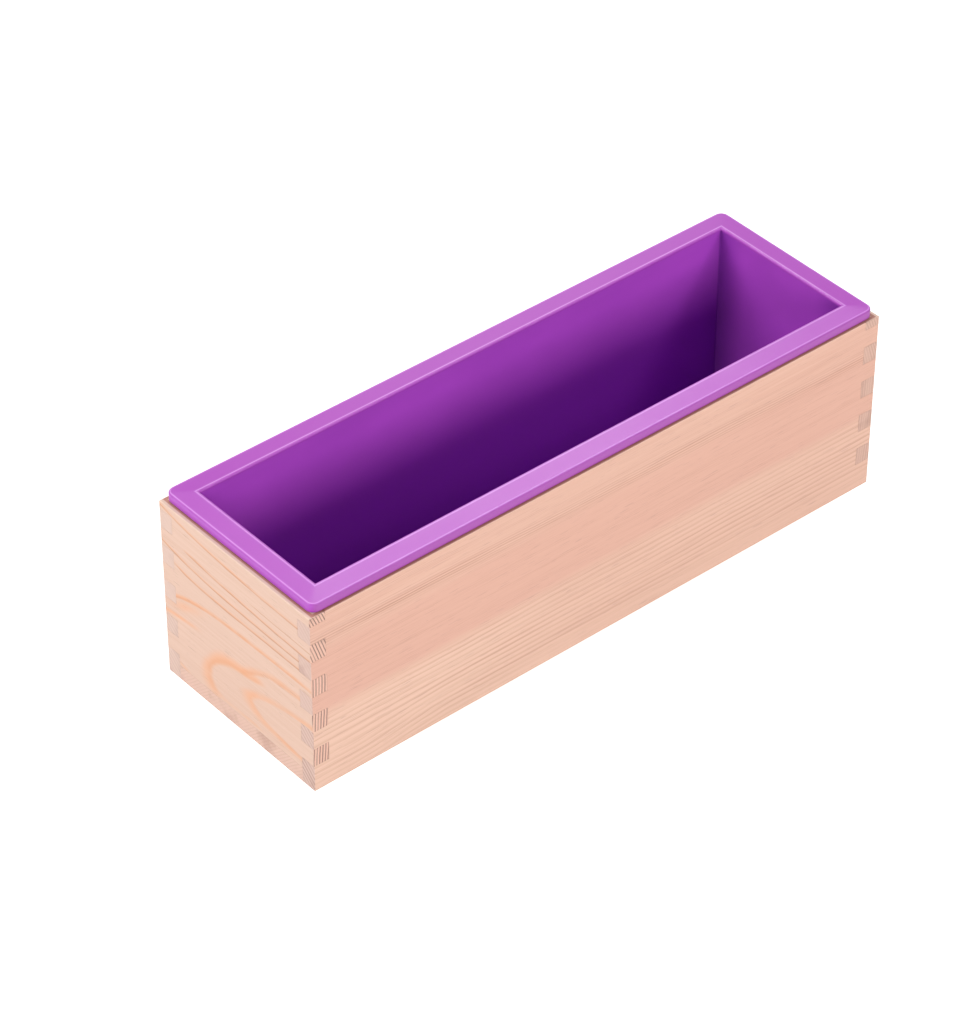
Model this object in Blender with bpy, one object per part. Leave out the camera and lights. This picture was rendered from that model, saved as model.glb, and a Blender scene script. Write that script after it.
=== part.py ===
"""Soap loaf mould: a finger-jointed pine box with a silicone liner that lifts out.

X runs along the loaf, Y from the front board to the back board, Z up.
The origin is at the middle of the box's underside.
"""

import math

import bmesh
import bpy

MM = 0.001

# Wooden box, measured over the outside
BOX_LENGTH = 280 * MM
BOX_WIDTH = 88 * MM
BOX_HEIGHT = 82 * MM
BOARD = 7 * MM
GAP = 0.3 * MM

# Finger joint at each upright corner, counted from the top edge down
TOP_FINGER = 3.85 * MM
FINGER = 8.25 * MM
FULL_FINGERS = 8
END_BOARD_TURN = 0
LONG_BOARD_TURN = 1

# Silicone liner: the rim, the tub that hangs inside the box, and the cavity for the soap
RIM_LENGTH = 276 * MM
RIM_WIDTH = 86 * MM
RIM_TOP = 86.6 * MM
RIM_CORNER = 3.5 * MM
RIM_EDGE = 0.7 * MM
CAVITY_LENGTH = 259.4 * MM
CAVITY_WIDTH = 69 * MM
CAVITY_CORNER = 2 * MM
LIP = 0.8 * MM
SIDE_CLEARANCE = 0.4 * MM
TUB_CORNER = 3 * MM
TUB_EDGE = 2 * MM
FLOOR_THICKNESS = 2.5 * MM
FLOOR_EDGE = 1 * MM
DRAFT = 0.8 * MM
CORNER_STEPS = 6
EDGE_STEPS = 4

PINE_SIDE = (0.86, 0.56, 0.41, 1)
PINE_END = (0.88, 0.62, 0.44, 1)
PINE_BASE = (0.82, 0.54, 0.40, 1)
PURPLE = (0.31, 0.08, 0.47, 1)


def clear_scene():
    for old in list(bpy.data.objects):
        bpy.data.objects.remove(old, do_unlink=True)


def finish(name, shape, colour, roughness):
    """Turns a bmesh into a named object with its own material."""
    bmesh.ops.recalc_face_normals(shape, faces=shape.faces)
    mesh = bpy.data.meshes.new(name)
    shape.to_mesh(mesh)
    shape.free()
    material = bpy.data.materials.new(name)
    material.use_nodes = True
    surface = material.node_tree.nodes["Principled BSDF"]
    surface.inputs["Base Color"].default_value = colour
    surface.inputs["Roughness"].default_value = roughness
    surface.inputs["Metallic"].default_value = 0
    mesh.materials.append(material)
    piece = bpy.data.objects.new(name, mesh)
    bpy.context.collection.objects.link(piece)
    return piece


def comb_side(half_span, turn, base):
    """One end of a board from top to bottom, as (across, up) points.

    The corner is split into bands. The board reaches the outside in the bands of its own turn,
    and stops short of the other board in the rest.
    """
    cuts = [BOX_HEIGHT - TOP_FINGER - step * FINGER for step in range(FULL_FINGERS + 1)]
    reach = [
        half_span if band % 2 == turn else half_span - BOARD - GAP
        for band in range(len(cuts) + 1)
    ]
    points = [(reach[0], BOX_HEIGHT)]
    for band, cut in enumerate(cuts):
        owned_above = band % 2 == turn
        step = cut + GAP / 2 if owned_above else cut - GAP / 2
        points += [(reach[band], step), (reach[band + 1], step)]
    points.append((reach[-1], base))
    return points


def comb_board(name, span, turn, base, middle, along_x, colour):
    """A board with fingers at both ends: a mirrored comb outline pushed through its thickness."""
    right = comb_side(span / 2, turn, base)
    left = [(-across, up) for across, up in reversed(right)]
    shape = bmesh.new()
    corners = []
    for across, up in right + left:
        place = (across, middle - BOARD / 2, up) if along_x else (middle - BOARD / 2, across, up)
        corners.append(shape.verts.new(place))
    face = shape.faces.new(corners)
    pushed = bmesh.ops.extrude_face_region(shape, geom=[face])["geom"]
    moved = [item for item in pushed if isinstance(item, bmesh.types.BMVert)]
    push = (0, BOARD, 0) if along_x else (BOARD, 0, 0)
    bmesh.ops.translate(shape, verts=moved, vec=push)
    return finish(name, shape, colour, 0.6)


def bottom_board():
    """The floor of the box: it fills the width between the long boards, under the end boards."""
    shape = bmesh.new()
    bmesh.ops.create_cube(shape, size=1)
    size = (BOX_LENGTH, BOX_WIDTH - 2 * BOARD - 2 * GAP, BOARD)
    bmesh.ops.scale(shape, verts=shape.verts, vec=size)
    bmesh.ops.translate(shape, verts=shape.verts, vec=(0, 0, BOARD / 2))
    return finish("bottom_board", shape, PINE_BASE, 0.6)


def quarter(inset, height, radius, first, last):
    """(inset, height) points round a quarter circle, between two angles in degrees."""
    turns = [math.radians(first + (last - first) * step / EDGE_STEPS) for step in range(EDGE_STEPS + 1)]
    return [(inset - radius * math.cos(turn), height + radius * math.sin(turn)) for turn in turns]


def ring(shape, length, width, corner, inset, height):
    """A rounded rectangle of vertices at one height, anticlockwise from above."""
    radius = max(corner - inset, corner / 3)
    middle_x = length / 2 - inset - radius
    middle_y = width / 2 - inset - radius
    signs = [(1, 1), (-1, 1), (-1, -1), (1, -1)]
    verts = []
    for quarter_turn, (side_x, side_y) in enumerate(signs):
        for step in range(CORNER_STEPS + 1):
            turn = math.pi / 2 * (quarter_turn + step / CORNER_STEPS)
            across = side_x * middle_x + radius * math.cos(turn)
            along = side_y * middle_y + radius * math.sin(turn)
            verts.append(shape.verts.new((across, along, height)))
    return verts


def silicone_liner():
    """The liner: rounded rectangles joined from its underside, up over the rim, and down inside."""
    underside = BOARD + GAP
    floor = underside + FLOOR_THICKNESS
    rim_underside = BOX_HEIGHT + GAP
    tub_length = BOX_LENGTH - 2 * BOARD - 2 * SIDE_CLEARANCE
    tub_width = BOX_WIDTH - 2 * BOARD - 2 * SIDE_CLEARANCE

    tub = quarter(DRAFT + TUB_EDGE, underside + TUB_EDGE, TUB_EDGE, -90, 0) + [(0, rim_underside)]
    rim = [(0, rim_underside)] + quarter(RIM_EDGE, RIM_TOP - RIM_EDGE, RIM_EDGE, 0, 90)
    lip = [(-inset, height) for inset, height in quarter(LIP, RIM_TOP - LIP, LIP, 90, 0)]
    foot = quarter(DRAFT + FLOOR_EDGE, floor + FLOOR_EDGE, FLOOR_EDGE, 0, -90)

    shape = bmesh.new()
    rings = [ring(shape, tub_length, tub_width, TUB_CORNER, *point) for point in tub]
    rings += [ring(shape, RIM_LENGTH, RIM_WIDTH, RIM_CORNER, *point) for point in rim]
    rings += [ring(shape, CAVITY_LENGTH, CAVITY_WIDTH, CAVITY_CORNER, *point) for point in lip + foot]
    for lower, upper in zip(rings, rings[1:]):
        for spot, vert in enumerate(lower):
            after = (spot + 1) % len(lower)
            shape.faces.new((vert, lower[after], upper[after], upper[spot]))
    shape.faces.new(rings[0])
    shape.faces.new(rings[-1])
    liner = finish("silicone_liner", shape, PURPLE, 0.45)
    liner.data.shade_smooth()
    liner.data.set_sharp_from_angle(angle=math.radians(30))
    return liner


clear_scene()
side_middle = BOX_WIDTH / 2 - BOARD / 2
end_middle = BOX_LENGTH / 2 - BOARD / 2
comb_board("front_board", BOX_LENGTH, LONG_BOARD_TURN, 0, -side_middle, True, PINE_SIDE)
comb_board("back_board", BOX_LENGTH, LONG_BOARD_TURN, 0, side_middle, True, PINE_SIDE)
comb_board("left_end_board", BOX_WIDTH, END_BOARD_TURN, BOARD + GAP, -end_middle, False, PINE_END)
comb_board("right_end_board", BOX_WIDTH, END_BOARD_TURN, BOARD + GAP, end_middle, False, PINE_END)
bottom_board()
silicone_liner()
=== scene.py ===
import math

import bmesh
import bpy
import numpy as np
from mathutils import Euler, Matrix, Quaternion, Vector


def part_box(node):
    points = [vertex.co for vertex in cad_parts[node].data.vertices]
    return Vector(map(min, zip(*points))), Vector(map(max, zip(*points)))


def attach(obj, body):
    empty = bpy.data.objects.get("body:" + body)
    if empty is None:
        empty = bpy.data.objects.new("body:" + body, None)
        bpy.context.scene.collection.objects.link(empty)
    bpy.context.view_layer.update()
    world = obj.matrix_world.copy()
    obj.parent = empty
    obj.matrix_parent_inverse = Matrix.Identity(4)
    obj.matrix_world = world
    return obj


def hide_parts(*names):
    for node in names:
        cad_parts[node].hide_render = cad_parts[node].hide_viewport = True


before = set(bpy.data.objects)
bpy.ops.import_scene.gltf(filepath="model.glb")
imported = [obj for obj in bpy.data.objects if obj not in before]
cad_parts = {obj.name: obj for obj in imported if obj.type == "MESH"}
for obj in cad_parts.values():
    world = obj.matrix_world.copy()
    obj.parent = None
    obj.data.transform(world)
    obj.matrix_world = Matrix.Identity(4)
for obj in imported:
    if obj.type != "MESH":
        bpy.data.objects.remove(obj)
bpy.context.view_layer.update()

MM = 0.001

# The box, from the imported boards
front_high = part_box("front_board")[1]
HALF_LENGTH = front_high.x
HALF_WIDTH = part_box("left_end_board")[1].y
BOX_HEIGHT = front_high.z
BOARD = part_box("bottom_board")[1].z

# The corner joint, counted from the top edge down, and the glue line between two fingers
TOP_FINGER = 3.85 * MM
FINGER = 8.25 * MM
FULL_FINGERS = 8
GLUE_LINE = 0.05 * MM
EASED_EDGE = 0.4 * MM
JOINT_EDGE = 0.07 * MM

# The liner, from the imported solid
liner_low, liner_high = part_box("silicone_liner")
RIM_HALF_LENGTH = liner_high.x
RIM_HALF_WIDTH = liner_high.y
RIM_TOP = liner_high.z
RIM_GAP = 0.3 * MM
RIM_UNDERSIDE = BOX_HEIGHT + RIM_GAP
RIM_CORNER = 3.5 * MM
RIM_EDGE = 0.7 * MM
RIM_SLOPE = 0.4 * MM
UNDER_EDGE = 0.4 * MM
SIDE_CLEARANCE = 0.4 * MM
TUB_CORNER = 3 * MM
TUB_EDGE = 2 * MM
DRAFT = 0.8 * MM
FLOOR_THICKNESS = 2.5 * MM
CAVITY_HALF_LENGTH = 129.7 * MM
CAVITY_HALF_WIDTH = 34.5 * MM
CAVITY_CORNER = 0.8 * MM
LIP = 0.8 * MM
FOOT_EDGE = 1.5 * MM
RIM_FLAT = RIM_HALF_LENGTH - RIM_EDGE - CAVITY_HALF_LENGTH - LIP

# How far in from each end of the rim's flat top a close row of points holds it flat
HOLD = 0.25 * MM

# Which way a board's grain runs, and which bands of the corner joint are its fingers
ALONG_LOAF, ACROSS_LOAF = 0, 1
END_BOARD_TURN, LONG_BOARD_TURN = 0, 1

# The materials count in millimetres
BOX_END_MM = HALF_LENGTH / MM
BOX_SIDE_MM = HALF_WIDTH / MM
BOX_TOP_MM = BOX_HEIGHT / MM
RIM_END_MM = RIM_HALF_LENGTH / MM
RIM_SIDE_MM = RIM_HALF_WIDTH / MM
RIM_CORNER_MM = RIM_CORNER / MM
CAVITY_END_MM = CAVITY_HALF_LENGTH / MM
CAVITY_SIDE_MM = CAVITY_HALF_WIDTH / MM
RIM_TOP_MM = RIM_TOP / MM

# How strongly light bends into bare wood and into silicone, which sets their gloss
GLOSS_IOR = 1.45


# ---------------------------------------------------------------- shader expressions


class Value:
    """A number that changes over a surface. Arithmetic on it adds Math nodes."""

    def __init__(self, finish, socket):
        self.finish = finish
        self.socket = socket

    def math(self, operation, *terms):
        terms = dict(enumerate((self,) + terms))
        return self.finish.node("ShaderNodeMath", {"operation": operation}, terms)

    def __add__(self, other):
        return self.math("ADD", other)

    def __sub__(self, other):
        return self.math("SUBTRACT", other)

    def __rsub__(self, other):
        return self.math("MULTIPLY", -1) + other

    def __mul__(self, other):
        return self.math("MULTIPLY", other)

    def __truediv__(self, other):
        return self.math("DIVIDE", other)

    def __abs__(self):
        return self.math("ABSOLUTE")

    __radd__ = __add__
    __rmul__ = __mul__

    def fraction(self):
        return self.math("FRACT")

    def whole(self):
        return self.math("FLOOR")

    def exponential(self):
        return self.math("EXPONENT")

    def logarithm(self):
        return self.math("LOGARITHM", math.e)

    def root(self):
        return self.math("SQRT")

    def step(self, low, high):
        """0 below low and 1 above high, with a smooth turn between them."""
        return self.finish.node(
            "ShaderNodeMapRange",
            {"interpolation_type": "SMOOTHSTEP"},
            {"Value": self, "From Min": low, "From Max": high},
        )

    def bell(self, middle, width):
        """A bell curve round middle: exp(-((value - middle) / width) squared)."""
        offset = (self - middle) / width
        return (0 - offset * offset).exponential()


class Finish:
    """One material. Every node it needs comes from node()."""

    def __init__(self, name):
        self.material = bpy.data.materials.new(name)
        self.material.use_nodes = True
        self.tree = self.material.node_tree
        self.shader = self.tree.nodes["Principled BSDF"]

    def feed(self, socket, value):
        if isinstance(value, Value):
            self.tree.links.new(value.socket, socket)
        else:
            socket.default_value = value

    def node(self, kind, settings, sockets, output=0):
        """Adds a node. Its settings come first, then its sockets' numbers, colours and links."""
        made = self.tree.nodes.new(kind)
        for name, value in settings.items():
            setattr(made, name, value)
        for name, value in sockets.items():
            self.feed(made.inputs[name], value)
        return Value(self, made.outputs[output])

    def place(self):
        """Object coordinates in millimetres, as three values."""
        spot = self.node("ShaderNodeTexCoord", {}, {}, "Object")
        split = self.node("ShaderNodeSeparateXYZ", {}, {"Vector": spot})
        sockets = split.socket.node.outputs
        return [Value(self, sockets[axis]) * (1 / MM) for axis in "XYZ"]

    def noise(self, across, along, up, detail=2.0, roughness=0.5):
        """Soft noise from 0 to 1 at a point given by three values, one turn per unit."""
        spot = self.node("ShaderNodeCombineXYZ", {}, {"X": across, "Y": along, "Z": up})
        sockets = {"Vector": spot, "Scale": 1.0, "Detail": detail, "Roughness": roughness}
        return self.node("ShaderNodeTexNoise", {}, sockets, 0)

    def mix(self, factor, first, second):
        """Blends two colours."""
        settings = {"data_type": "RGBA", "blend_type": "MIX"}
        return self.node("ShaderNodeMix", settings, {0: factor, 6: first, 7: second}, 2)

    def bump(self, height, strength, distance):
        sockets = {"Height": height, "Strength": strength, "Distance": distance}
        return self.node("ShaderNodeBump", {}, sockets)

    def surface(self, **sockets):
        for name, value in sockets.items():
            self.feed(self.shader.inputs[name.replace("_", " ")], value)
        return self.material


# ---------------------------------------------------------------- pine


def shaded(colour, red, green, blue):
    """A colour with its parts scaled."""
    return (colour[0] * red, colour[1] * green, colour[2] * blue, 1)


# Painted shadow: the reddish brown of the rim's contact shadow on the boards' top, in a band along the
# rim's outline
RIM_SHADOW_BROWN = (0.40, 0.13, 0.095, 1)
RIM_SHADOW_STRENGTH = 0.75

# How far in from each end of a board its end grain starts, over a short blend
SAWN_FROM = 0.25
SAWN_FULL = 0.12


def pine(name, grain_axis, half_length, face_lines, end_rings, tones, seed):
    """Bare pine: latewood lines, fibre streaks and resin flecks, with end grain on both sawn ends.

    face_lines gives four values for a point of a face: how far it lies in the soft orange
    latewood, how far in its thin brown edge, and how pink and how cream the early wood is
    there. end_rings gives the ring count on the sawn ends, and how strongly the rings show.
    Every noise on a face is stretched along the grain.
    """
    finish = Finish(name)
    place = finish.place()
    along = place[grain_axis]
    depth = place[1 - grain_axis]
    up = place[2]
    early, late, edge, end_light, end_dark, end_strength = tones

    soft, brown, pink, cream = face_lines(finish, along, depth, up, seed)
    streak = finish.noise(along * 0.012, depth * 0.9 + seed, up * 0.9, 4.0, 0.6)
    fibre = finish.noise(along * 0.06, depth * 3.2, up * 3.2 + seed, 3.0, 0.6)
    blotch = finish.noise(along * 0.012 + seed, depth * 0.05, up * 0.035, 3.0)
    canal = finish.noise(along * 0.13 + seed, depth * 3.4, up * 3.4, 0.0)

    pale = shaded(early, 1.03, 1.035, 1.04)
    deep = shaded(early, 0.975, 0.945, 0.93)
    blush = shaded(early, 0.985, 0.925, 0.925)
    bright = shaded(early, 1.1, 1.2, 1.2)
    ground = finish.mix(streak.step(0.36, 0.64), pale, deep)
    ground = finish.mix(blotch.step(0.4, 0.62) * 0.6, ground, early)
    ground = finish.mix(pink, ground, blush)
    ground = finish.mix(cream, ground, bright)
    face = finish.mix(soft, ground, late)
    face = finish.mix(brown, face, edge)
    face = finish.mix(fibre.step(0.54, 0.74) * 0.2, face, edge)
    face = finish.mix(canal.step(0.75, 0.79) * 0.35, face, end_dark)

    # Painted light: the boards' top band and eased top edge mix towards a lighter copy of the early
    # wood, standing in for light from above and the edge's highlight
    painted_lit_top = up.step(BOX_TOP_MM - 0.5, BOX_TOP_MM - 0.1)
    past_rim = (abs(place[0]) - RIM_END_MM).math("MAXIMUM", abs(place[1]) - RIM_SIDE_MM)
    # Painted shadow: a band along the rim's outline on the boards' top, where the rim's contact shadow
    # falls
    painted_rim_shadow = painted_lit_top * past_rim.step(-1.0, -0.5) * (1 - past_rim.step(0.45, 0.85))
    face = finish.mix(painted_lit_top * 0.85, face, shaded(early, 1.22, 1.34, 1.36))

    lean = finish.noise(depth * 0.12, up * 0.12 + seed, along * 0.01, 2.0) - 0.5
    rings, vigour = end_rings(depth, up)
    count = rings + lean * 0.5
    share = count.fraction()
    year = finish.noise(count.whole() * 0.37 + seed, 0.5, 0.5, 0.0).step(0.3, 0.6) * 0.5 + 0.5
    ring = share.step(0.4, 0.72) * (1 - share.step(0.82, 0.96)) * year
    pores = finish.noise(along * 0.4, depth * 3.6, up * 3.6, 3.0, 0.7)
    shade = finish.noise(along * 0.1 + seed, depth * 0.09, up * 0.09, 2.0)
    dusk = pores.step(0.35, 0.75) * 0.26 + shade.step(0.5, 0.72) * 0.34
    end = finish.mix(dusk, end_light, end_dark)
    end = finish.mix(ring * vigour * end_strength, end, end_dark)

    sawn = abs(along).step(half_length - SAWN_FROM, half_length - SAWN_FULL)
    colour = finish.mix(sawn, face, end)
    # Painted shadow: the rim's contact shadow laid over the boards' top in reddish brown
    colour = finish.mix(painted_rim_shadow * RIM_SHADOW_STRENGTH, colour, RIM_SHADOW_BROWN)

    relief = (soft + brown) * 0.3 + fibre * 0.6 + streak * 0.4 + sawn * (pores * 0.8 + ring * 0.5)
    rough = 0.6 - soft * 0.08 + (fibre - 0.5) * 0.16 + sawn * 0.14
    normal = finish.bump(relief, 0.3, 0.05 * MM)
    return finish.surface(Base_Color=colour, Roughness=rough, Normal=normal, IOR=GLOSS_IOR)


# ---------------------------------------------------------------- latewood on the faces

# All lengths here are in millimetres. A face is read from its top edge down and from its left
# end to the right.

# The flat-sawn end boards' long lines: the depth each settles at, how much lower it lies at
# the left end, the distance over which that fades, its width, the strength of its orange and
# of its brown, and where along the board it starts
LONG_LINES = (
    (9.2, -7.8, 30, 1.6, 1.0, 0.6, -9),
    (18.0, -5.5, 80, 0.9, 0.3, 0.65, 50),
    (20.8, -8.0, 40, 1.4, 0.9, 0.7, 12),
    (24.2, -6.2, 22, 1.4, 0.8, 0.7, -9),
    (28.0, -7.0, 9, 1.5, 0.9, 0.65, 5),
    (34.4, 11.0, 15, 2.2, 1.0, 0.2, -9),
)

# Their arches: the level of each, its width, the strength of its orange and of its brown,
# where it starts and stops, and how far it sinks at its start and at its end
ARCH_LINES = (
    (41.3, 2.4, 0.75, 0.12, 44, 999, 2.8, 0),
    (42.2, 2.2, 0.9, 0.1, -9, 62, 0, 3.2),
    (49.2, 1.9, 0.75, 0.0, -9, 999, 0, 0),
)

# Where the arches fold back, and how softly
CREST_DEPTH = 61
CREST_SOFTNESS = 4

# How far the arches are lifted at the left end, and the distance over which that fades
LEFT_LIFT = 8.3
LEFT_LIFT_FALL = 40

# The plateau that cuts the arches' tops: its depth at the left end, its rise to the right, how
# that rise slackens, and how softly it meets the arches
PLATEAU = 30.5
PLATEAU_SLOPE = 0.525
PLATEAU_BEND = 0.0011
PLATEAU_SOFTNESS = 12

# The right end board is sawn from another part of the plank, so its pattern is shifted
RIGHT_END_SHIFT = 6
RIGHT_END_RISE = 7

# The width of one year on the straight-grained boards, and how the years slant along the
# board and through its thickness
YEAR = 2.45
YEAR_SLANT_ALONG = -0.008
YEAR_SLANT_THROUGH = 0.9


def growth_line(offset, width, orange, dark, reach):
    """The soft orange band and thin brown edge of one line, at an offset across it.

    The band fades in over its width on the early side and stops short on the other.
    """
    late_side = (1 - offset.step(0, 0.45 * width)) * reach
    return offset.step(-width, 0) * late_side * orange, offset.step(-0.3 * width, 0) * late_side * dark


def flat_sawn_lines(right, down, finish, depth, seed):
    """Arches that open to the right below long level lines.

    A long line's depth is a level plus a part that dies away from the left end. The arches are
    contours of a soft minimum of the depth down the face, folded back below the crest, and a
    plateau that rises to the right.
    """
    sway = finish.noise(right * 0.035 + seed, down * 0.05, depth * 0.05, 2.0) - 0.5
    shiver = finish.noise(right * 0.16, down * 0.7 + seed, depth * 0.3, 3.0) - 0.5
    wander = sway * 0.8 + shiver * 0.4
    soft, brown = 0, 0
    for settled, lower, fall, width, orange, dark, start in LONG_LINES:
        offset = down + wander - (right * (-1 / fall)).exponential() * lower - settled
        reach = right.step(start, start + 8)
        band, edge = growth_line(offset, width, orange, dark, reach)
        soft = soft + band
        brown = brown + edge

    past = down - CREST_DEPTH
    lift = (right * (-1 / LEFT_LIFT_FALL)).exponential() * LEFT_LIFT * (1 - down.step(32, 62))
    folded = CREST_DEPTH - (past * past + CREST_SOFTNESS).root() + lift
    plateau = right * PLATEAU_SLOPE - right * right * PLATEAU_BEND + PLATEAU
    plateau = plateau + (past + (past * past + 36).root()) * 0.3
    joined = (folded * (-1 / PLATEAU_SOFTNESS)).exponential()
    joined = joined + (plateau * (-1 / PLATEAU_SOFTNESS)).exponential()
    level = joined.logarithm() * -PLATEAU_SOFTNESS + wander
    for middle, width, orange, dark, start, stop, first, last in ARCH_LINES:
        sunk = (1 - right.step(48, 66)) * first + right.step(27, 56) * last
        reach = right.step(start, start + 8) * (1 - right.step(stop - 8, stop))
        reach = reach * (1 - down.step(71, 75) * right.step(28, 34))
        band, edge = growth_line(level - sunk - middle, width, orange, dark, reach)
        soft = soft + band
        brown = brown + edge

    stub = (down + right * 0.13).bell(51.4, 1.0) * (1 - right.step(14, 24)) * 0.9
    smear = (down + right * 0.35).bell(47.5, 2.2) * right.bell(13, 8) * 0.6
    dash = (down - right * 0.25).bell(71.6, 0.9) * right.bell(10, 4) * 0.6
    soft = (soft + stub + smear + dash).math("MINIMUM", 1)
    vigour = finish.noise(right * 0.07 + seed, down * 0.07, 0.5, 2.0).step(0.3, 0.62) * 0.45 + 0.55
    gather = right.step(20, 80) * (1 - down.step(28, 40)) * 0.35
    return soft * vigour * (1 - gather), brown * vigour, 0, 0


def left_end_lines(finish, along, depth, up, seed):
    """The arches, read from the back corner at the left to the front corner at the right."""
    return flat_sawn_lines(BOX_SIDE_MM - along, BOX_TOP_MM - up, finish, depth, seed)


def right_end_lines(finish, along, depth, up, seed):
    """The same pattern, shifted, read from the front corner to the back corner."""
    right = along + (BOX_SIDE_MM + RIGHT_END_SHIFT)
    down = BOX_TOP_MM - RIGHT_END_RISE - up
    return flat_sawn_lines(right, down, finish, depth, seed)


def year_count(along, depth, up):
    """Years counted down the face, slanting a little along it and strongly through the board."""
    slant = along * YEAR_SLANT_ALONG + depth * YEAR_SLANT_THROUGH
    return (BOX_TOP_MM - up + slant) / YEAR


def straight_lines(finish, along, depth, up, seed):
    """Quarter-sawn: straight, even lines, strong low on the board, tight near the top.

    The lines are spaced evenly down the face. At the left end the lowest ones bend down.
    """
    down = BOX_TOP_MM - up
    right = along + BOX_END_MM
    sway = finish.noise(along * 0.012 + seed, depth * 0.05, up * 0.05, 2.0) - 0.5
    shiver = finish.noise(along * 0.06, depth * 0.3 + seed, up * 0.5, 2.0) - 0.5
    bend = (1 - right.step(15, 65)) * down.step(56, 74) * 4
    count = year_count(along, depth, up) + (sway * 2.6 + shiver * 0.6 - bend) / YEAR
    share = count.fraction()
    patch = finish.noise(count.whole() * 0.41 + seed, along * 0.016, 0.5, 1.0)
    year = patch.step(0.34, 0.64) * (0.7 - right.step(60, 130) * 0.4) + 0.4
    line = share.step(0.35, 0.8) * (1 - share.step(0.85, 0.97)) * year
    zone = down.step(46, 50) * (right.step(25, 110) * 0.36 + 0.26) + 0.05
    zone = zone * (1 - down.step(72, 76) * (0.4 + right.step(60, 120) * 0.55))
    sloping = down - right * 0.018 + sway * 2 + shiver * 0.5
    tight = (sloping / 1.2).fraction()
    tight = tight.step(0.35, 0.75) * (1 - tight.step(0.85, 0.97)) * sloping.bell(11.6, 2.7)
    finer = (count * 3.3 + shiver * 0.4).fraction()
    hair = finish.noise(along * 0.02 + seed, down * 0.8, 0.5, 2.0).step(0.42, 0.68)
    finer = finer.step(0.3, 0.7) * (1 - finer.step(0.8, 1.0)) * hair * 0.26
    pink = down.step(14, 20) * (1 - down.step(43, 48)) * 0.9 + right.step(200, 270) * 0.4
    cream = down.step(44, 52) * (1 - right.step(50, 150) * 0.5)
    brown = line * zone * 0.76 + tight * (year * 0.6 + 0.15) + finer
    return line * zone * 0.5, brown, pink.math("MINIMUM", 1), cream


def straight_rings(depth, up):
    """Slanting rings that show mostly on the lower fingers."""
    return year_count(depth * 0, depth, up), (BOX_TOP_MM - up).step(44, 54) * 0.75 + 0.25


def end_board_rings(depth, up):
    """Near-upright rings that lean over towards the top."""
    above = up - 58
    above = above + (above * above + 25).root()
    return depth / 1.3 - up * 0.05 + above * 0.17, 1


def bottom_rings(depth, up):
    """Slanting rings, set close."""
    return (up + depth * YEAR_SLANT_THROUGH) / 1.7, 1


# ---------------------------------------------------------------- wood geometry

# How close to a face of the box counts as lying on it, and how level an edge has to be
ON_FACE = 0.1 * MM
LEVEL = 0.01 * MM


def closed_piece(name, vertices, faces, material):
    """A closed mesh from arrays, with its faces pointing out, as a piece at the origin."""
    mesh = bpy.data.meshes.new(name)
    mesh.from_pydata(vertices.tolist(), [], faces)
    shape = bmesh.new()
    shape.from_mesh(mesh)
    bmesh.ops.recalc_face_normals(shape, faces=shape.faces)
    shape.to_mesh(mesh)
    shape.free()
    mesh.materials.append(material)
    piece = bpy.data.objects.new(name, mesh)
    bpy.context.scene.collection.objects.link(piece)
    return piece


def ease_edges(piece):
    """Rounds the edges: well along the box's top and bottom, and barely where two boards meet."""
    mesh = piece.data
    corners = np.empty(len(mesh.vertices) * 3)
    mesh.vertices.foreach_get("co", corners)
    corners = corners.reshape(-1, 3)
    pairs = np.empty(len(mesh.edges) * 2, int)
    mesh.edges.foreach_get("vertices", pairs)
    ends = corners[pairs.reshape(-1, 2)]
    level = np.ptp(ends[..., 2], axis=1) < LEVEL
    height = ends[..., 2].mean(1)
    middle = np.abs(ends.mean(1))
    outside = (middle[:, 0] > HALF_LENGTH - ON_FACE) | (middle[:, 1] > HALF_WIDTH - ON_FACE)
    open_edge = (height > BOX_HEIGHT - ON_FACE) | ((height < ON_FACE) & outside)
    weights = np.where(level & open_edge, 1.0, JOINT_EDGE / EASED_EDGE)
    layer = mesh.attributes.new("bevel_weight_edge", "FLOAT", "EDGE")
    layer.data.foreach_set("value", weights)
    bevel = piece.modifiers.new("eased_edges", "BEVEL")
    bevel.width = EASED_EDGE
    bevel.segments = 3
    bevel.limit_method = "WEIGHT"
    bevel.harden_normals = True
    mesh.shade_smooth()


def comb_board(name, half_span, turn, base, middle, grain_axis, material):
    """A board with fingers at both ends.

    The outline runs down one end in steps, whose reach is the full span in the bands of this
    board's own turn and stops short of the neighbour in the others, and is mirrored for the
    other end. The outline is carried straight through the board's thickness.
    """
    cuts = BOX_HEIGHT - TOP_FINGER - FINGER * np.arange(FULL_FINGERS + 1)
    band = np.arange(FULL_FINGERS + 2)
    own = band % 2 == turn
    reach = np.where(own, half_span, half_span - BOARD - GLUE_LINE)
    shoulder = cuts + np.where(own[:-1], 0.5, -0.5) * GLUE_LINE
    across = np.repeat(reach, 2)
    up = np.concatenate([[BOX_HEIGHT], np.repeat(shoulder, 2), [base]])
    outline = np.stack([np.concatenate([across, -across[::-1]]), np.concatenate([up, up[::-1]])], 1)
    count = len(outline)
    sides = []
    for depth in (middle - BOARD / 2, middle + BOARD / 2):
        columns = [outline[:, 0], np.full(count, depth), outline[:, 1]]
        if grain_axis == ACROSS_LOAF:
            columns[0], columns[1] = columns[1], columns[0]
        sides.append(np.stack(columns, 1))
    here = np.arange(count)
    after = (here + 1) % count
    walls = np.stack([here, after, after + count, here + count], 1).tolist()
    faces = walls + [here.tolist(), (here + count)[::-1].tolist()]
    piece = closed_piece(name, np.concatenate(sides), faces, material)
    ease_edges(piece)
    return piece


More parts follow.
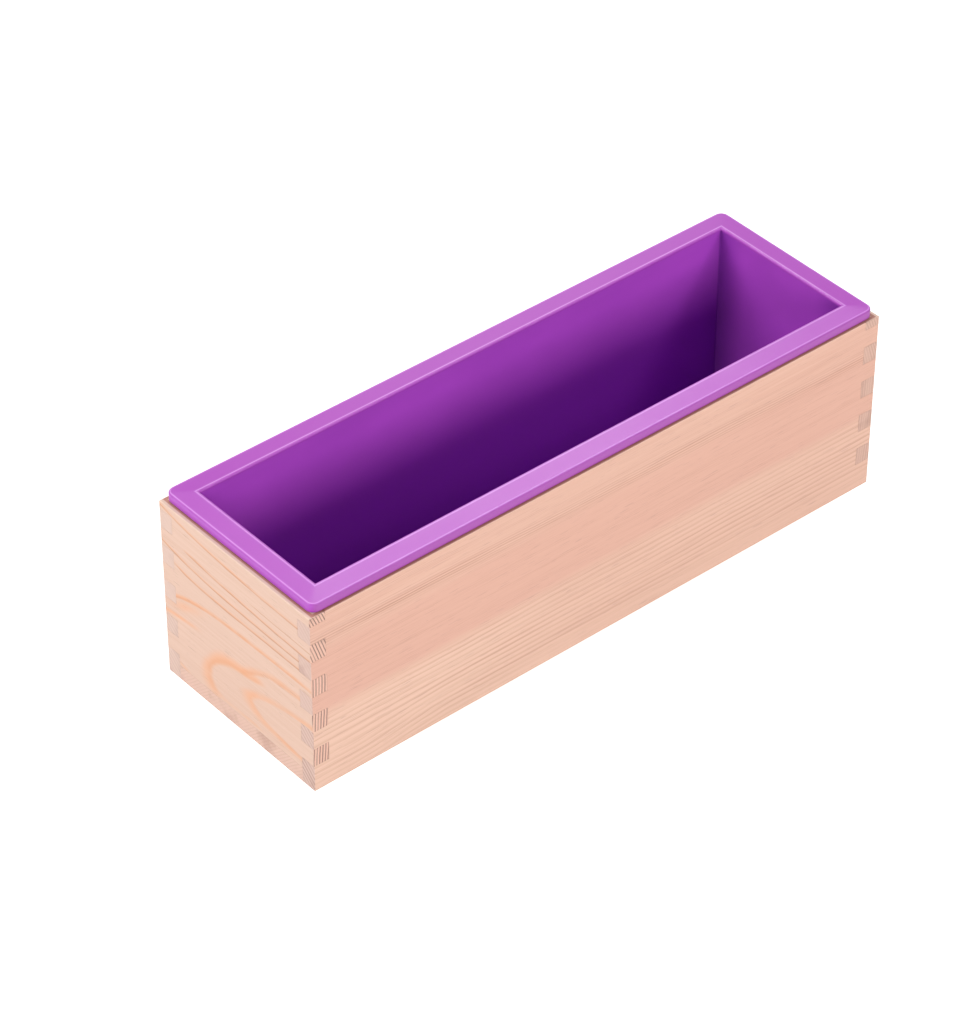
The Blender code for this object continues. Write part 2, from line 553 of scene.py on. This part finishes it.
def plain_board(name, low, high, material):
    """A board with square ends: the eight corners of its box, with eased edges."""
    pick = np.array([[x, y, z] for z in (0, 1) for x, y in ((0, 0), (1, 0), (1, 1), (0, 1))])
    vertices = np.array(low) + pick * (np.array(high) - np.array(low))
    sides = [[k, (k + 1) % 4, (k + 1) % 4 + 4, k + 4] for k in range(4)]
    faces = [[0, 1, 2, 3], [4, 5, 6, 7]] + sides
    piece = closed_piece(name, vertices, faces, material)
    ease_edges(piece)
    return piece


# ---------------------------------------------------------------- liner geometry

# Points round a corner of the liner and along a side of it
CORNER_STEPS = 10
SIDE_STEPS = 24


def liner_skin(sections):
    """A closed skin through rounded rectangles, given as rows of
    (half length, half width, corner radius, height).

    Each point is the corner's centre plus the radius times a unit direction. Round a corner the
    direction turns. Along a side the direction is fixed and the corner's sign slides over to
    the next corner's sign.
    """
    signs = np.array([[1, 1], [-1, 1], [-1, -1], [1, -1]], float)
    sign_rows, angle_rows = [], []
    for corner in range(4):
        turn = np.linspace(0, 1, CORNER_STEPS + 1)
        slide = np.linspace(0, 1, SIDE_STEPS + 1)[1:-1, None]
        here, following = signs[corner], signs[(corner + 1) % 4]
        sign_rows += [np.tile(here, (len(turn), 1)), here + (following - here) * slide]
        angle_rows += [(corner + turn) * math.pi / 2, np.full(len(slide), (corner + 1) * math.pi / 2)]
    sign = np.concatenate(sign_rows)
    angle = np.concatenate(angle_rows)
    half = np.array(sections)[:, None, :2]
    radius = np.array(sections)[:, None, 2:3]
    flat = sign * (half - radius) + radius * np.stack([np.cos(angle), np.sin(angle)], 1)
    height = np.broadcast_to(np.array(sections)[:, None, 3:4], flat.shape[:2] + (1,))
    points = np.concatenate([flat, height], 2)

    rings, count = points.shape[:2]
    row = np.arange(rings - 1)[:, None] * count
    here = np.arange(count)[None, :]
    after = (here + 1) % count
    quads = np.stack([row + here, row + after, row + count + after, row + count + here], 2)
    faces = quads.reshape(-1, 4).tolist()
    faces.append(list(range(count))[::-1])
    faces.append(list(range((rings - 1) * count, rings * count)))
    return points, faces


def arc(inset, height, radius, first, last, steps=5):
    """(inset, height) points round part of a circle, between two angles in degrees."""
    turn = np.radians(np.linspace(first, last, steps + 1))
    return np.stack([inset - radius * np.cos(turn), height + radius * np.sin(turn)], 1)


def run(first, last):
    """(inset, height) points along a straight run, with close ones that hold both its ends flat."""
    share = np.concatenate([[0.008], np.linspace(0.1, 0.9, 9), [0.992]])[:, None]
    return np.array(first) * (1 - share) + np.array(last) * share


def sections_of(half_length, half_width, corner, profile):
    """Rounded rectangles that follow a profile of (inset, height) points."""
    inset = profile[:, 0]
    radius = np.maximum(corner - inset, corner / 3)
    return np.stack([half_length - inset, half_width - inset, radius, profile[:, 1]], 1)


def silicone_liner(material):
    """The liner: from its underside up the tub, round the thick rim, and down into the cavity."""
    tub_half_length = HALF_LENGTH - BOARD - SIDE_CLEARANCE
    tub_half_width = HALF_WIDTH - BOARD - SIDE_CLEARANCE
    underside = liner_low.z
    floor = underside + FLOOR_THICKNESS
    shoulder = RIM_TOP - RIM_SLOPE - RIM_EDGE
    tub = arc(DRAFT + TUB_EDGE, underside + TUB_EDGE, TUB_EDGE, -90, 0)
    wall = run(tub[-1], (0, RIM_UNDERSIDE))
    under_rim = arc(UNDER_EDGE, RIM_UNDERSIDE + UNDER_EDGE, UNDER_EDGE, -90, 0)
    over_rim = arc(RIM_EDGE, shoulder, RIM_EDGE, 0, 90)
    lip = arc(0, RIM_TOP - LIP, LIP, 90, 0) * (-1, 1)
    foot = arc(DRAFT + FOOT_EDGE, floor + FOOT_EDGE, FOOT_EDGE, 0, -90)
    inside = run(lip[-1], foot[0])
    hold_outer = over_rim[-1:] + (HOLD, RIM_SLOPE * HOLD / RIM_FLAT)
    hold_inner = lip[:1] + (-HOLD, -RIM_SLOPE * HOLD / RIM_FLAT)
    outside = np.concatenate([tub, wall])
    rim = np.concatenate([under_rim, over_rim, hold_outer])
    cavity = np.concatenate([hold_inner, lip, inside, foot])
    sections = [
        sections_of(tub_half_length, tub_half_width, TUB_CORNER, outside),
        sections_of(RIM_HALF_LENGTH, RIM_HALF_WIDTH, RIM_CORNER, rim),
        sections_of(CAVITY_HALF_LENGTH, CAVITY_HALF_WIDTH, CAVITY_CORNER, cavity),
    ]
    points, faces = liner_skin(np.concatenate(sections))
    liner = closed_piece("silicone_liner_skin", points.reshape(-1, 3), faces, material)
    liner.data.shade_smooth()
    liner.data.set_sharp_from_angle(angle=math.radians(35))
    return liner


def purple_silicone():
    """Satin silicone: a fine moulded texture, faint cloudiness and slight gloss changes.

    Painted highlights are pale lines along the rim's outer top edge and its inner lip, and
    painted shade darkens the rim's side, its top a little, the cavity's lower part and the end
    walls near their corners. from_edge is the distance in from the rim's rounded outline: the
    corner's radius less the length of what lies past the corner's centre.
    """
    finish = Finish("purple_silicone")
    across, along, up = finish.place()
    cloud = finish.noise(across * 0.02, along * 0.03, up * 0.03, 3.0)
    grain = finish.noise(across * 3.0, along * 3.0, up * 3.0, 2.0)
    light = (0.41, 0.066, 0.52, 1)
    dark = (0.38, 0.06, 0.49, 1)
    deep = (0.30, 0.036, 0.46, 1)
    corner = (0.18, 0.022, 0.30, 1)
    top = (0.385, 0.061, 0.45, 1)
    side = (0.31, 0.053, 0.335, 1)
    painted_highlight = (0.64, 0.28, 0.72, 1)
    colour = finish.mix(cloud.step(0.35, 0.65), dark, light)
    end_wall = abs(across).step(CAVITY_END_MM - 2, CAVITY_END_MM - 1)
    past_end_wall = abs(across).step(CAVITY_END_MM + 0.6, CAVITY_END_MM + 1.4)
    past_side_wall = abs(along).step(CAVITY_SIDE_MM + 0.4, CAVITY_SIDE_MM + 1)
    outside = past_end_wall.math("MAXIMUM", past_side_wall)
    # Painted shade: the cavity's walls darken towards the bottom, away from the end walls
    colour = finish.mix((1 - up.step(38, 68)) * (1 - end_wall) * (1 - outside), colour, deep)
    # Painted shade: the cavity's end walls darken near their corners with the side walls
    colour = finish.mix(end_wall * abs(along).step(18, 36) * (1 - outside) * 0.8, colour, corner)
    rise = up - RIM_TOP_MM
    # Painted shade: the rim's top and upper lip take a darker, less blue copy of the silicone,
    # offsetting the strong light from above
    colour = finish.mix(rise.step(-1.6, -0.6), colour, top)

    past_end = (abs(across) - (RIM_END_MM - RIM_CORNER_MM)).math("MAXIMUM", 0)
    past_side = (abs(along) - (RIM_SIDE_MM - RIM_CORNER_MM)).math("MAXIMUM", 0)
    from_edge = RIM_CORNER_MM - (past_end * past_end + past_side * past_side).root()
    at_end = abs(across).step(RIM_END_MM - 2, RIM_END_MM - 0.5)
    # Painted shade: the rim's outer side takes a darker colour, less of it on the end sides
    colour = finish.mix((1 - from_edge.step(0.05, 0.45)) * (1 - at_end * 0.65), colour, side)
    # Painted highlight: pale lines along the rim's outer top edge and along the inner lip, where the
    # rounded edges catch the light, broken up by the cloud noise
    from_lip = (abs(across) - CAVITY_END_MM).math("MAXIMUM", abs(along) - CAVITY_SIDE_MM)
    edges = from_edge.bell(0.62, 0.3) * rise.step(-1.0, -0.7) + from_lip.bell(0.42, 0.34)
    highlight_breakup = (cloud - 0.5) * 0.6 + 0.75
    edges = (edges * rise.step(-1.6, -1.0) * highlight_breakup).math("MINIMUM", 1)
    colour = finish.mix(edges, colour, painted_highlight)

    rough = 0.33 + (cloud - 0.5) * 0.1 + (grain - 0.5) * 0.08
    normal = finish.bump(grain, 0.12, 0.04 * MM)
    return finish.surface(Base_Color=colour, Roughness=rough, Normal=normal, IOR=GLOSS_IOR)


# ---------------------------------------------------------------- pieces

# Early wood, late wood and its edge on the faces, then the sawn ends' ground, their lines, and
# how strongly those lines show
STRAIGHT_FACE = ((0.595, 0.356, 0.272, 1), (0.58, 0.33, 0.23, 1), (0.36, 0.185, 0.125, 1))
ARCHED_FACE = ((0.595, 0.405, 0.317, 1), (0.66, 0.315, 0.168, 1), (0.35, 0.175, 0.10, 1))
BASE_FACE = ((0.60, 0.40, 0.32, 1), (0.60, 0.35, 0.24, 1), (0.46, 0.25, 0.18, 1))
FRONT_TONES = STRAIGHT_FACE + ((0.57, 0.40, 0.34, 1), (0.34, 0.20, 0.165, 1), 0.75)
BACK_TONES = STRAIGHT_FACE + ((0.60, 0.43, 0.36, 1), (0.42, 0.28, 0.24, 1), 0.4)
LEFT_TONES = ARCHED_FACE + ((0.68, 0.415, 0.325, 1), (0.15, 0.09, 0.07, 1), 0.92)
RIGHT_TONES = ARCHED_FACE + ((0.55, 0.35, 0.28, 1), (0.30, 0.17, 0.13, 1), 0.42)
BASE_TONES = BASE_FACE + ((0.64, 0.43, 0.35, 1), (0.30, 0.155, 0.115, 1), 0.16)


def long_board(name, side, tones, seed):
    """The front board on side -1 or the back board on side 1."""
    wood = pine(
        name + "_pine", ALONG_LOAF, BOX_END_MM, straight_lines, straight_rings, tones, seed
    )
    middle = side * (HALF_WIDTH - BOARD / 2)
    piece_name = name + "_pine_piece"
    return comb_board(piece_name, HALF_LENGTH, LONG_BOARD_TURN, 0, middle, ALONG_LOAF, wood)


def end_board(name, side, face_lines, tones, seed):
    """The left end board on side -1 or the right one on side 1, standing on the bottom board."""
    wood = pine(
        name + "_pine", ACROSS_LOAF, BOX_SIDE_MM, face_lines, end_board_rings, tones, seed
    )
    middle = side * (HALF_LENGTH - BOARD / 2)
    base = BOARD + GLUE_LINE
    piece_name = name + "_pine_piece"
    return comb_board(piece_name, HALF_WIDTH, END_BOARD_TURN, base, middle, ACROSS_LOAF, wood)


boards = {
    "front_board": long_board("front_board", -1, FRONT_TONES, 3.1),
    "back_board": long_board("back_board", 1, BACK_TONES, 17.4),
    "left_end_board": end_board("left_end", -1, left_end_lines, LEFT_TONES, 5.7),
    "right_end_board": end_board("right_end", 1, right_end_lines, RIGHT_TONES, 29.2),
}
base_pine = pine(
    "bottom_board_pine", ALONG_LOAF, BOX_END_MM, straight_lines, bottom_rings, BASE_TONES, 41.0
)
inner_half_width = HALF_WIDTH - BOARD - GLUE_LINE
boards["bottom_board"] = plain_board(
    "bottom_board_pine_piece",
    (-HALF_LENGTH, -inner_half_width, 0),
    (HALF_LENGTH, inner_half_width, BOARD),
    base_pine,
)
for node, piece in boards.items():
    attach(piece, "box")
    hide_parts(node)

liner = silicone_liner(purple_silicone())
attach(liner, "liner")
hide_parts("silicone_liner")


# ---------------------------------------------------------------- floor, light and camera

# The floor: its half side, the gap that keeps it clear of the box, and its grey and its glow
FLOOR_HALF_SIDE = 60.0
FLOOR_GAP = 0.02 * MM
FLOOR_GREY = (0.5, 0.5, 0.5, 1)
NEAR_GLOW = (0.76, 0.76, 0.76, 1)
FAR_GLOW = (1, 1, 1, 1)


def floor():
    """A white floor that glows evenly, and a little more far from the object."""
    finish = Finish("white_floor")
    across, along, _ = finish.place()
    away = (across * across + along * along).root()
    glow = finish.mix(away.step(400, 2000), NEAR_GLOW, FAR_GLOW)
    material = finish.surface(
        Base_Color=FLOOR_GREY, Roughness=0.8, Emission_Color=glow, Emission_Strength=1.0
    )
    corners = np.array([[-1, -1, 0], [1, -1, 0], [1, 1, 0], [-1, 1, 0]])
    vertices = corners * FLOOR_HALF_SIDE - (0, 0, FLOOR_GAP)
    mesh = bpy.data.meshes.new("floor")
    mesh.from_pydata(vertices.tolist(), [], [[0, 1, 2, 3]])
    mesh.materials.append(material)
    piece = bpy.data.objects.new("floor", mesh)
    bpy.context.scene.collection.objects.link(piece)


def softbox(name, azimuth, elevation, distance, width, height, radiance):
    """An area light aimed at the object. Its power gives the stated radiance over its face."""
    light = bpy.data.lights.new(name, "AREA")
    light.shape = "RECTANGLE"
    light.size = width
    light.size_y = height
    light.energy = radiance * math.pi * width * height
    turn, tilt = math.radians(azimuth), math.radians(elevation)
    back = Vector(
        (math.sin(turn) * math.cos(tilt), -math.cos(turn) * math.cos(tilt), math.sin(tilt))
    )
    lamp = bpy.data.objects.new(name, light)
    lamp.location = Vector((0, 0, BOX_HEIGHT)) + back * distance
    lamp.rotation_euler = back.to_track_quat("Z", "Y").to_euler()
    bpy.context.scene.collection.objects.link(lamp)


def surroundings(strength):
    """An even white world, faint, so the lights do the work."""
    world = bpy.data.worlds.new("studio")
    world.use_nodes = True
    background = world.node_tree.nodes["Background"]
    background.inputs["Color"].default_value = (1, 1, 1, 1)
    background.inputs["Strength"].default_value = strength
    bpy.context.scene.world = world


# The camera: its lens in millimetres, its place, and how far it turns, looks down and rolls
LENS = 141.5
CAMERA_PLACE = (-0.7879, -0.9023, 0.9984)
CAMERA_TURN = -40.24
CAMERA_DOWN = 38.94
CAMERA_ROLL = 0.04


def camera():
    """A long lens from the left front corner, high above the rim."""
    data = bpy.data.cameras.new("camera")
    data.sensor_width = 36
    data.lens = LENS
    data.clip_end = 2 * FLOOR_HALF_SIDE
    eye = bpy.data.objects.new("camera", data)
    eye.location = CAMERA_PLACE
    aim = Euler((math.radians(90 - CAMERA_DOWN), 0, math.radians(CAMERA_TURN))).to_quaternion()
    roll = Quaternion((0, 0, 1), math.radians(CAMERA_ROLL))
    eye.rotation_euler = (aim @ roll).to_euler()
    bpy.context.scene.collection.objects.link(eye)
    bpy.context.scene.camera = eye


# Each light's azimuth and elevation in degrees, its distance, width and height, and its radiance
SOFTBOXES = {
    "front_softbox": (-6, 19, 1.6, 1.8, 0.6, 5.8),
    "left_softbox": (-102, 26, 1.6, 1.15, 0.5, 9.4),
    "top_softbox": (-172, 62, 1.8, 1.2, 0.8, 5.6),
    "back_softbox": (136, 45, 1.8, 0.56, 0.38, 9.8),
    "low_back_softbox": (138, 32, 1.8, 0.5, 0.26, 2.4),
    "edge_softbox": (39, 37, 1.6, 0.3, 0.3, 12.0),
    "high_edge_softbox": (72, 57, 1.6, 0.5, 0.4, 5.0),
}

floor()
surroundings(0.02)
for name, setting in SOFTBOXES.items():
    softbox(name, *setting)
camera()
bpy.context.scene.view_settings.view_transform = "Standard"
